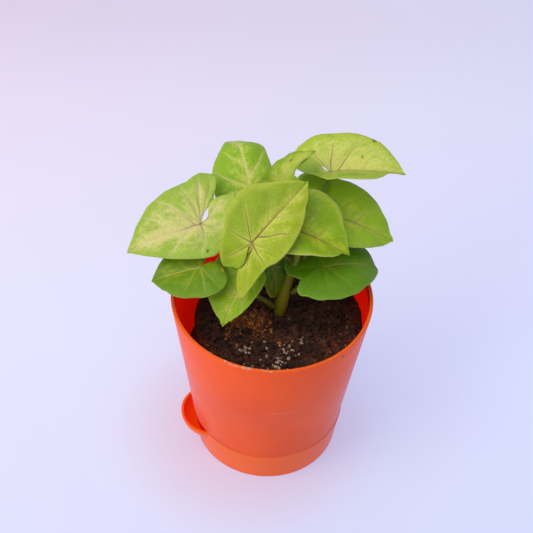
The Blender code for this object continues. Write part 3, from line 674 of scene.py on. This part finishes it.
POT_HEIGHT = 111
POT_RIM_RADIUS = 55
POT_FOOT_RADIUS = 41
POT_WALL = 1.4
TRAY_HEIGHT = 22.5
TRAY_RIM_RADIUS = 44.4
TRAY_BASE_RADIUS = 42
TRAY_WALL = 1.3
TRAY_FLOOR = 1.5
SPOUT_AZIMUTH = 199
SPOUT_RADIUS = 18.5
SPOUT_REACH = 52
SPOUT_DEPTH = 14
TURNING_STEPS = 192
SHARP = math.radians(40)  # a crease of the plastic above this stays sharp
# Where the pot's rim is rubbed most, where a pale line across its front lies, and where a grain of grit
# is
RUBBED_RIM = Vector((-11, -53, 111)) * MM
PALE_LINE = Vector((8, -48.5, 69.8)) * MM
GRIT = Vector((38.2, -38.9, 107.7)) * MM


def pot_outer(height):
    """The outside of the pot's wall, which runs straight up to the rim."""
    return POT_FOOT_RADIUS + (POT_RIM_RADIUS - 0.1 - POT_FOOT_RADIUS) / POT_HEIGHT * height


def turned(profile, centre=Vector((0, 0, 0)), steps=TURNING_STEPS):
    """Turns (radius, height) points, in millimetres, about the upright through centre."""
    shape = bmesh.new()
    corners = [shape.verts.new((centre + Vector((radius, 0, height))) * MM)
               for radius, height in profile]
    edges = [shape.edges.new(pair) for pair in zip(corners, corners[1:])]
    if profile[0][0] > 0:
        edges.append(shape.edges.new((corners[-1], corners[0])))
    bmesh.ops.spin(shape, geom=corners + edges, cent=centre * MM, axis=(0, 0, 1), angle=math.tau,
                   steps=steps, use_merge=True, use_duplicate=False)
    bmesh.ops.remove_doubles(shape, verts=shape.verts, dist=0.005 * MM)
    bmesh.ops.recalc_face_normals(shape, faces=shape.faces)
    return shape


def rounded(centre, radius, start, end, steps=5):
    """Points on an arc of the profile, from one angle to another."""
    points = []
    for step in range(steps + 1):
        angle = math.radians(start + (end - start) * step / steps)
        points.append((centre[0] + radius * math.cos(angle), centre[1] + radius * math.sin(angle)))
    return points


def moulded_plastic(name, tints, rim_height, foot_radius, rim_radius, glow):
    """Moulded polypropylene: satin, with a faint grain from the mould. Its inner side is painted a
    deeper red and given a painted glow, for light that comes through the thin wall and bounces between
    its red sides, and the rim is painted a little more orange, a painted glow of its thin edge. A
    lavender sheen pales its outside where that is seen edge on, a painted reflection of the pale studio.
    tints are two of the outside, the inside's and the rim's."""
    made, shader, add = finish(name, IOR=1.49, Specular_IOR_Level=0.28, Subsurface_Weight=0.3,
                               Subsurface_Scale=2.0 * MM, Subsurface_Radius=(1.0, 0.12, 0.03),
                               Sheen_Roughness=0.25, Sheen_Tint=colour("D2CAFF"),
                               Emission_Color=colour("FF1400"))
    base, deep, inside, rim = (colour(code) for code in tints.split())
    place = add("TexCoord").outputs["Object"]
    parts = add("SeparateXYZ", {0: place}).outputs
    # How deep inside the wall's outer face a point lies
    slope = (rim_radius - foot_radius) / rim_height
    radius = add("VectorMath", {0: place, 1: (1, 1, 0)}, operation="MULTIPLY")
    radius = add("VectorMath", {0: radius}, operation="LENGTH").outputs["Value"]
    depth = add("Math", {0: parts["Z"], 1: slope, 2: foot_radius * MM}, operation="MULTIPLY_ADD")
    depth = add("Math", {0: depth, 1: radius}, operation="SUBTRACT")
    within = add("MapRange", {0: depth, 1: 0.75 * MM, 2: 0.95 * MM})
    # top marks the rim, which is painted a little more orange: a painted glow where its thin edge
    # catches light and lets it through
    top = add("MapRange", {0: parts["Z"], 1: (rim_height - 0.5) * MM, 2: (rim_height - 0.1) * MM})
    cloud = add("TexNoise", {"Vector": place, "Scale": 1 / (35 * MM), "Detail": 3.0})
    cloud = add("MapRange", {0: cloud, 1: 0.3, 2: 0.7})
    # The rim is rubbed pale in places, and one pale line runs across the front, with a grain of grit by
    # it
    rub = add("TexNoise", {"Vector": place, "Scale": 1 / (2.2 * MM), "Detail": 3.0})
    rub_side = add("VectorMath", {0: place, 1: RUBBED_RIM}).outputs["Value"]
    rub = add("Math", {0: rub_side, 1: -6.0, 2: rub}, operation="MULTIPLY_ADD")
    rub = add("MapRange", {0: rub, 1: 0.47, 2: 0.54, 4: 0.6})
    rub = add("Math", {0: rub, 1: top})
    pale_line = add("VectorMath", {0: place, 1: PALE_LINE}, operation="SUBTRACT")
    pale_line = add("Mapping", {"Vector": pale_line, "Rotation": (0, math.radians(5), 0),
                            "Scale": (1 / (14 * MM), 0, 1 / (0.45 * MM))})
    pale_line = add("VectorMath", {0: pale_line}, operation="LENGTH").outputs["Value"]
    pale_line = add("MapRange", {0: pale_line, 1: 1.0, 2: 0.0, 4: 0.35})
    pale_line = add("Math", {0: pale_line, 1: add("Math", {0: parts["Y"], 1: 0.0}, operation="LESS_THAN")})
    grit = add("VectorMath", {0: place, 1: GRIT}).outputs["Value"]
    grit = add("MapRange", {0: grit, 1: 1.0 * MM, 2: 0.6 * MM, 4: 0.9})
    # A little dust and potting mix clings in specks of about half a millimetre
    speck = add("TexVoronoi", {"Vector": place, "Scale": 1 / (11 * MM)})
    speck = add("MapRange", {0: speck, 1: 0.045, 2: 0.025, 4: 0.4}, **SMOOTH)
    # Inside the wall the colour is painted a deeper red: painted light, for light that bounces between
    # the red sides and comes through the thin wall
    shell = base
    for share, tint in ((cloud, deep), (within, inside), (top, rim), (rub, colour("C8A890")),
                        (pale_line, colour("F8C0A8")), (grit, colour("7A1C14")), (speck, colour("6E2410"))):
        shell = add("Mix", {"Factor": share, "A": shell, "B": tint})
    # Painted glow: the emission inside, for light that comes through the thin wall, fades out between 5
    # mm and 1 mm below the rim
    low = add("MapRange", {0: parts["Z"], 1: (rim_height - 1) * MM, 2: (rim_height - 5) * MM, 4: glow})
    # Handling leaves the satin uneven, with faint rubbed bands round the wall
    satin = add("Mapping", {"Vector": place, "Scale": (0.35, 0.35, 4.0)})
    satin = add("TexNoise", {"Vector": satin, "Scale": 1 / (30 * MM), "Detail": 4.0, "Roughness": 0.6})
    satin = add("MapRange", {0: satin, 1: 0.3, 2: 0.7, 3: 0.33, 4: 0.47})
    grain = add("TexNoise", {"Vector": place, "Scale": 1 / (0.7 * MM), "Detail": 2.0})
    bump = add("Bump", {"Height": grain, "Strength": 0.12, "Distance": 0.08 * MM})
    # The sheen outside is a painted reflection of the pale studio, seen where the wall is edge on
    feed(shader, {"Base Color": shell, "Roughness": satin, "Normal": bump,
                  "Sheen Weight": add("MapRange", {0: within, 3: 0.38, 4: 0.0}),
                  "Emission Strength": add("Math", {0: within, 1: low})})
    return made


def make_pot():
    skirt, skirt_foot, floor, edge, well = 42.4, 41.2, 15, 2, 13
    shoulder = TRAY_HEIGHT + 0.02
    line = 68  # height of the faint ring that the two halves of the mould leave
    well_foot = well - 1.5
    well_bottom = TRAY_FLOOR + 0.3
    inner = pot_outer(POT_HEIGHT) - 1.9
    profile = [(0, well_bottom), (well_foot, well_bottom), (well, floor - POT_WALL),
               (skirt_foot - edge, floor - POT_WALL)]
    profile += rounded((skirt_foot - edge, floor - POT_WALL + edge), edge, -90, 0)
    profile += [(skirt, shoulder), (pot_outer(shoulder) - 0.03, shoulder),
                (pot_outer(shoulder), shoulder + 0.03), (pot_outer(shoulder + 2), shoulder + 2),
                (pot_outer(shoulder + 5.9), shoulder + 5.9), (pot_outer(line - 0.7), line - 0.7),
                (pot_outer(line) + 0.02, line), (pot_outer(line + 0.5), line + 0.5)]
    profile += rounded((POT_RIM_RADIUS - 0.6, POT_HEIGHT - 0.6), 0.6, 0, 90, 4)
    profile += rounded((inner + 0.5, POT_HEIGHT - 0.5), 0.5, 90, 180, 4)
    profile += [(pot_outer(shoulder + POT_WALL) - POT_WALL, shoulder + POT_WALL),
                (skirt - POT_WALL, shoulder), (skirt_foot - POT_WALL, floor + edge),
                (skirt_foot - edge - POT_WALL, floor), (well - POT_WALL, floor),
                (well_foot - POT_WALL, well_bottom + POT_WALL), (0, well_bottom + POT_WALL)]
    shape = turned(profile)
    # The pot sits a little askew in its tray, nearly flush with it at the front
    for vert in shape.verts:
        height = vert.co.z / MM
        if shoulder - 0.01 < height < shoulder + 6 and vert.co.xy.length > 43.2 * MM:
            turn = math.degrees(math.atan2(vert.co.y, vert.co.x)) % 360
            out = 0.55 * math.exp(-((turn - 288) / 58) ** 2) * (1 - (height - shoulder) / 6) ** 1.5
            vert.co.xy *= 1 + out * MM / vert.co.xy.length
    plastic = moulded_plastic("pot_polypropylene", "FC5C06 F05204 D01200 E25A02", POT_HEIGHT,
                              POT_FOOT_RADIUS, pot_outer(POT_HEIGHT), 0.3)
    pot = dress(new_object("planter_pot", shape), [plastic], "pot_plastic", "pot")
    pot.data.set_sharp_from_angle(angle=SHARP)


def cut(piece, name, shape, operation):
    """Joins or cuts the piece with another shape and applies it."""
    other = new_object(name, shape)
    change = piece.modifiers.new(name, "BOOLEAN")
    change.object = other
    change.operation = operation
    change.solver = "EXACT"
    bpy.context.view_layer.update()
    graph = bpy.context.evaluated_depsgraph_get()
    solved = bpy.data.meshes.new_from_object(piece.evaluated_get(graph))
    piece.modifiers.clear()
    old = piece.data
    piece.data = solved
    bpy.data.meshes.remove(old)
    bpy.data.objects.remove(other)


def spout(inset):
    """The scoop of the spout, a quarter of an ellipse turned about its own upright."""
    radius, depth = SPOUT_RADIUS - inset, SPOUT_DEPTH - inset
    profile = [(0, TRAY_HEIGHT - depth)]
    for step in range(1, 17):
        angle = math.radians(90) * step / 16
        profile.append((radius * math.sin(angle), TRAY_HEIGHT - depth * math.cos(angle)))
    if inset:
        profile.append((radius, TRAY_HEIGHT + depth))
    profile.append((0, profile[-1][1]))
    azimuth = math.radians(SPOUT_AZIMUTH)
    distance = SPOUT_REACH - SPOUT_RADIUS
    return turned(profile, Vector((math.cos(azimuth), math.sin(azimuth), 0)) * distance, 96)


def make_tray():
    foot, rim = TRAY_BASE_RADIUS, TRAY_RIM_RADIUS
    inner_foot, inner_rim = foot - TRAY_WALL, rim - TRAY_WALL
    outside = [(0, 0), (foot - 1, 0)] + rounded((foot - 1, 1), 1, -90, 0)
    outside += [(rim, TRAY_HEIGHT - 0.04), (rim - 0.04, TRAY_HEIGHT), (inner_rim + 0.3, TRAY_HEIGHT),
                (inner_rim, TRAY_HEIGHT - 0.3), (inner_foot, TRAY_FLOOR + 1),
                (inner_foot - 1, TRAY_FLOOR), (0, TRAY_FLOOR)]
    inside = [(0, TRAY_FLOOR), (inner_foot - 1, TRAY_FLOOR), (inner_foot, TRAY_FLOOR + 1),
              (inner_rim, TRAY_HEIGHT), (inner_rim, 2 * TRAY_HEIGHT), (0, 2 * TRAY_HEIGHT)]
    tray = new_object("planter_tray", turned(outside))
    cut(tray, "spout_shell", spout(0), "UNION")
    cut(tray, "tray_bowl", turned(inside), "DIFFERENCE")
    cut(tray, "spout_hollow", spout(TRAY_WALL), "DIFFERENCE")
    plastic = moulded_plastic("tray_polypropylene", "FF6E0C FA640C E82800 F26410", TRAY_HEIGHT,
                              TRAY_BASE_RADIUS, TRAY_RIM_RADIUS, 0.1)
    dress(tray, [plastic], "tray_plastic", "reservoir_tray")
    tray.data.set_sharp_from_angle(angle=SHARP)


# ---------------------------------------------------------------- potting mix

SOIL_HEIGHT = 94
SOIL_MOUND = 2
SOIL_TOP_RADIUS = 51.2
SOIL_SHIFT = 8.7  # how far the mix has moved from the wall at the left
SOIL_CREVICE = 30  # depth of the gap that leaves
SOIL_FOOT, SOIL_FOOT_RADIUS = 17.5, 39.3
SOIL_RINGS = 96
SOIL_STEPS = 300
SOIL_REACH = 51  # radius that the mound's slope is measured by
# Millimetres across of what its surface is made of
LUMP, CLOD, CRUMB = 11, 4.2, 1.9
# Centre of the coir, in a frame turned and stretched as its patch is
COIR_PLACE = Vector((-13.2, 3.8, 47.0)) * MM


def soil_edge(angle, height):
    """Distance from the pot's axis to the edge of the mix, by the wall or by the crevice."""
    wall = pot_outer(height) - POT_WALL - 0.4
    side = SOIL_SHIFT * math.sin(angle)
    crevice = SOIL_SHIFT * math.cos(angle) + math.sqrt(SOIL_TOP_RADIUS ** 2 - side ** 2) - 0.1
    return min(wall, crevice)


def soil_height(place):
    """The surface: level by the wall, a low mound round the stem, and clods and crumbs on it."""
    from_axis = place.length / SOIL_REACH
    mound = SOIL_MOUND * max(0, min(1, (1 - from_axis) / 0.7)) ** 1.3
    lumps = noise.fractal(Vector((place.x / LUMP, place.y / LUMP, 1)), 0.9, 2.1, 2) * 0.8
    clod_gap = noise.voronoi(Vector((place.x / CLOD, place.y / CLOD, 2)))[0][0]
    crumb_gap = noise.voronoi(Vector((place.x / CRUMB, place.y / CRUMB, 6)))[0][0]
    clods = (0.45 - clod_gap) * 1.5 + (0.4 - crumb_gap) * 0.8
    return SOIL_HEIGHT - 1.2 + mound + lumps + clods


def make_soil_body(skin):
    """A round of mix: its top is pressed into lumps, its sides follow the pot and the crevice."""
    shape = bmesh.new()
    # The profile holds shares of the radius first, and the height says which part of the mix it is
    stations = [(step / SOIL_RINGS, 0) for step in range(SOIL_RINGS + 1)]
    stations += [(1, -1), (1, -2), (1, -3), (1, -4), (0, -5)]
    corners = [shape.verts.new((share, 0, part)) for share, part in stations]
    edges = [shape.edges.new(pair) for pair in zip(corners, corners[1:])]
    bmesh.ops.spin(shape, geom=corners + edges, cent=(0, 0, 0), axis=(0, 0, 1), angle=math.tau,
                   steps=SOIL_STEPS, use_merge=True, use_duplicate=False)
    bmesh.ops.remove_doubles(shape, verts=shape.verts, dist=1e-4)
    for vert in shape.verts:
        angle = math.atan2(vert.co.y, vert.co.x)
        share = min(1, math.hypot(vert.co.x, vert.co.y))
        part = round(vert.co.z)
        crevice = SOIL_HEIGHT - SOIL_CREVICE
        if part == 0:
            radius = share * soil_edge(angle, SOIL_HEIGHT)
            flat = Vector((radius * math.cos(angle), radius * math.sin(angle), 0))
            height = soil_height(flat) - 1.2 * max(0, (share - 0.96) / 0.04)
        elif part >= -2:
            rough = noise.fractal(Vector((math.cos(angle) * 12, math.sin(angle) * 12, part)), 0.8, 2, 3)
            height = SOIL_HEIGHT - 7 if part == -1 else crevice + 0.8
            radius = soil_edge(angle, height) - 0.3 - abs(rough) * 0.6
        elif part == -3:
            radius, height = pot_outer(crevice) - POT_WALL - 0.6, crevice
        elif part == -4:
            radius, height = SOIL_FOOT_RADIUS, SOIL_FOOT
        else:
            radius, height = 0, SOIL_FOOT
        vert.co = Vector((radius * math.cos(angle), radius * math.sin(angle), height)) * MM
    bmesh.ops.recalc_face_normals(shape, faces=shape.faces)
    dress(new_object("potting_mix", shape), [skin], "potting_mix", "soil")


def earth(name, dark, light, grain, rough=0.95, patch=None):
    """Damp peat and its grains: matt, with colour that changes from crumb to crumb of grain
    millimetres. patch is the colour of the coir that was mixed in by the stem."""
    made, shader, add = finish(name, Roughness=rough, IOR=1.4)
    place = add("TexCoord").outputs["Object"]
    lump = add("TexNoise", {"Vector": place, "Scale": 1 / (grain * 4 * MM), "Detail": 6.0,
                            "Roughness": 0.65})
    crumb = add("TexVoronoi", {"Vector": place, "Scale": 1 / (grain * MM)}).outputs["Color"]
    tone = add("SeparateColor", {0: crumb})
    tone = add("Math", {0: tone, 1: 0.5, 2: lump}, operation="MULTIPLY_ADD")
    tone = add("MapRange", {0: tone, 1: 0.5, 2: 1.1}, **SMOOTH)
    # Wetter places, about 12 mm across, are darker
    damp = add("TexNoise", {"Vector": place, "Scale": 1 / (12 * MM), "Detail": 2.0})
    damp = add("MapRange", {0: damp, 1: 0.38, 2: 0.62, 3: 0.35, 4: 1.0})
    tone = add("Math", {0: tone, 1: damp})
    mix = add("Mix", {"Factor": tone, "A": colour(dark), "B": colour(light)})
    if patch:
        offset = add("Mapping", {"Vector": place, "Scale": (1.0, 1.5, 0.5),
                                 "Rotation": (0, 0, math.radians(-35))})
        offset = add("VectorMath", {0: offset, 1: COIR_PLACE}).outputs["Value"]
        drift = add("TexNoise", {"Vector": place, "Scale": 1 / (7 * MM), "Detail": 4.0,
                                 "Roughness": 0.7})
        share = add("Math", {0: drift, 1: -22 * MM, 2: offset}, operation="MULTIPLY_ADD")
        share = add("MapRange", {0: share, 1: 4 * MM, 2: -4 * MM, 4: 0.75}, **SMOOTH)
        blotch = add("TexNoise", {"Vector": place, "Scale": 1 / (3.2 * MM), "Detail": 3.0})
        blotch = add("MapRange", {0: blotch, 1: 0.42, 2: 0.56, 3: 0.2, 4: 1.0})
        share = add("Math", {0: share, 1: blotch})
        mix = add("Mix", {"Factor": share, "A": mix, "B": colour(patch)})
    bump = add("Bump", {"Height": lump, "Strength": 0.8, "Distance": 0.4 * MM})
    feed(shader, {"Base Color": mix, "Normal": bump})
    return made


def grains(name, skin, count, sizes, flatness, spots=None):
    """Grains lying on the mix. spots are (x, y, spread) clusters, and without them they lie anywhere."""
    heap, batch = bmesh.new(), bmesh.new()
    for number in range(count):
        while True:
            if spots:
                x, y, spread = random.choice(spots)
                place = Vector((random.gauss(x, spread), random.gauss(y, spread), 0))
            else:
                angle, far = random.uniform(0, math.tau), math.sqrt(random.random()) * 50
                place = Vector((far * math.cos(angle), far * math.sin(angle), 0))
            size = random.uniform(*sizes) * random.uniform(0.6, 1)
            edge = soil_edge(math.atan2(place.y, place.x), SOIL_HEIGHT) - size - 0.8
            if place.length < edge:
                break
        squash = Matrix.Diagonal((size, size * random.uniform(0.55, 0.95),
                                  size * random.uniform(*flatness), 1 / MM)) * MM
        turn = Euler((random.gauss(0, 0.5), random.gauss(0, 0.5), random.uniform(0, math.tau)))
        lift = Vector((place.x, place.y, soil_height(place) + size * 0.25)) * MM
        bmesh.ops.create_icosphere(batch, subdivisions=1, radius=1,
                                   matrix=Matrix.Translation(lift) @ turn.to_matrix().to_4x4() @ squash)
        if number % 60 == 59 or number == count - 1:
            small = bpy.data.meshes.new("batch")
            batch.to_mesh(small)
            heap.from_mesh(small)
            bpy.data.meshes.remove(small)
            batch.free()
            batch = bmesh.new()
    batch.free()
    for vert in heap.verts:
        vert.co += noise.noise_vector(vert.co / (1.1 * MM)) * 0.22 * MM
    dress(new_object(name, heap), [skin], "potting_mix")


def make_soil():
    make_soil_body(earth("peat", "241208", "5A3016", 1.2, patch="8E5620"))
    grains("peat_crumbs", earth("peat_crumb", "170C08", "523426", 2.0, patch="9A6026"), 900,
           (0.6, 1.8), (0.5, 0.9))
    grains("peat_lumps", earth("peat_lump", "1C100B", "4E3326", 3.0, patch="9A6026"), 260,
           (1.6, 3.2), (0.4, 0.8))
    grains("coir_bits", earth("coir", "7A4418", "B07834", 1.6), 90, (0.8, 1.8), (0.25, 0.6),
           [(-12, -4, 6), (-21, -11, 3), (-5, -12, 3)])
    grains("bark_chips", earth("bark", "4A3022", "8C6C54", 2.0), 90, (0.9, 2.0), (0.25, 0.5))
    grains("perlite", earth("perlite_grain", "7E6E5A", "CDBEAA", 1.2, 0.9), 100, (0.6, 1.7),
           (0.45, 0.85), [(6, -34, 2.5), (6, -32, 1.5), (10, -23, 3), (9, -38, 2.0), (-11.7, -26.4, 1.2),
                         (-15.4, -27.3, 0.8), (-3, -30, 1.0), (-3, -22, 2.0), (17, -16, 4)])


# ---------------------------------------------------------------- floor, light, camera

# Metres back from the pot, and the paper's tint there on the left and on the right: painted light, for
# how the studio light's tint and strength change across the floor
PAPER_PAINTED_LIGHT = [
    (-0.07, "A7A8A3", "9FA7AC"),
    (0.05, "ADABA6", "ADB3B8"),
    (0.175, "B5ACA0", "ABAAAD"),
    (0.31, "B8A497", "ADADA3"),
    (0.44, "AC917F", "AAA397"),
]
WORLD_STRENGTH = 0.66
CAMERA_PLACE = Vector((-3.81, -432.63, 565.02)) * MM
CAMERA_DOWN, CAMERA_ROLL = 45.02, 2.64  # how far it looks down, and how far it is rolled
# Name, place, size, power and tint
LIGHTS = [
    ("softbox_left", (-0.9, -0.5, 0.9), 1.0, 9, "FFF0D8"),
    ("softbox_top", (-0.2, 0.0, 1.6), 1.5, 8, "FFFAF4"),
]


def floor_paper():
    """Smooth matt paper: its tint drifts a little from front to back and down each side, a painted light
    for how the studio light changes across the floor, and close to the pot, most of all on its left,
    it is painted some of the pot's orange, a painted bounce of the pot's light. It is lit softly from
    below."""
    made, shader, add = finish("floor_paper", Roughness=0.9, IOR=1.3, Emission_Strength=0.6,
                               Emission_Color=colour("C4CCFF"))
    place = add("TexCoord").outputs["Object"]
    parts = add("SeparateXYZ", {0: place}).outputs
    nearest, farthest = PAPER_PAINTED_LIGHT[0][0], PAPER_PAINTED_LIGHT[-1][0]
    away = add("MapRange", {0: parts["Y"], 1: nearest, 2: farthest})
    sides = []
    for which in (1, 2):
        ramp = add("ValToRGB", {0: away})
        while len(ramp.color_ramp.elements) < len(PAPER_PAINTED_LIGHT):
            ramp.color_ramp.elements.new(0.5)
        for stop, row in zip(ramp.color_ramp.elements, PAPER_PAINTED_LIGHT):
            stop.position = (row[0] - nearest) / (farthest - nearest)
            stop.color = colour(row[which])
        sides.append(ramp)
    side = add("MapRange", {0: parts["X"], 1: -0.35, 2: 0.35}, **SMOOTH)
    tone = add("Mix", {"Factor": side, "A": sides[0], "B": sides[1]})
    # Painted light: close to the pot, most of all on its left, the paper is painted the orange of the
    # light the pot throws on it
    painted_bounce = add("VectorMath", {0: place, 1: (-12 * MM, -6 * MM, 0)}).outputs["Value"]
    painted_bounce = add("MapRange", {0: painted_bounce, 1: 88 * MM, 2: 32 * MM, 4: 0.9}, **SMOOTH)
    feed(shader, {"Base Color": add("Mix", {"Factor": painted_bounce, "A": tone, "B": colour("AA8C72")})})
    return made


def make_studio():
    floor_shape = bmesh.new()
    bmesh.ops.create_grid(floor_shape, x_segments=1, y_segments=1, size=6)
    floor = new_object("studio_floor", floor_shape)
    floor.data.materials.append(floor_paper())
    world = bpy.data.worlds.new("studio")
    bpy.context.scene.world = world
    world.use_nodes = True
    feed(world.node_tree.nodes["Background"], {"Color": colour("E4E2F6"), "Strength": WORLD_STRENGTH})
    for name, place, size, power, tint in LIGHTS:
        lamp = bpy.data.lights.new(name, "AREA")
        lamp.shape = "DISK"
        lamp.size = size
        lamp.energy = power
        lamp.color = colour(tint)[:3]
        light = bpy.data.objects.new(name, lamp)
        light.location = place
        light.rotation_euler = (Vector((0, 0, 0.08)) - Vector(place)).to_track_quat("-Z", "Y").to_euler()
        bpy.context.scene.collection.objects.link(light)


def make_camera():
    data = bpy.data.cameras.new("camera")
    data.lens = 78
    data.sensor_width = 36
    data.clip_start = 0.01
    camera = bpy.data.objects.new("camera", data)
    bpy.context.scene.collection.objects.link(camera)
    tilt = Matrix.Rotation(math.radians(90 - CAMERA_DOWN), 4, "X")
    roll = Matrix.Rotation(math.radians(CAMERA_ROLL), 4, "Z")
    camera.matrix_world = Matrix.Translation(CAMERA_PLACE) @ tilt @ roll
    bpy.context.scene.camera = camera
    bpy.context.scene.view_settings.view_transform = "Standard"


make_camera()
make_studio()
make_pot()
make_tray()
make_soil()
make_stem()
make_stalks()
make_blades()
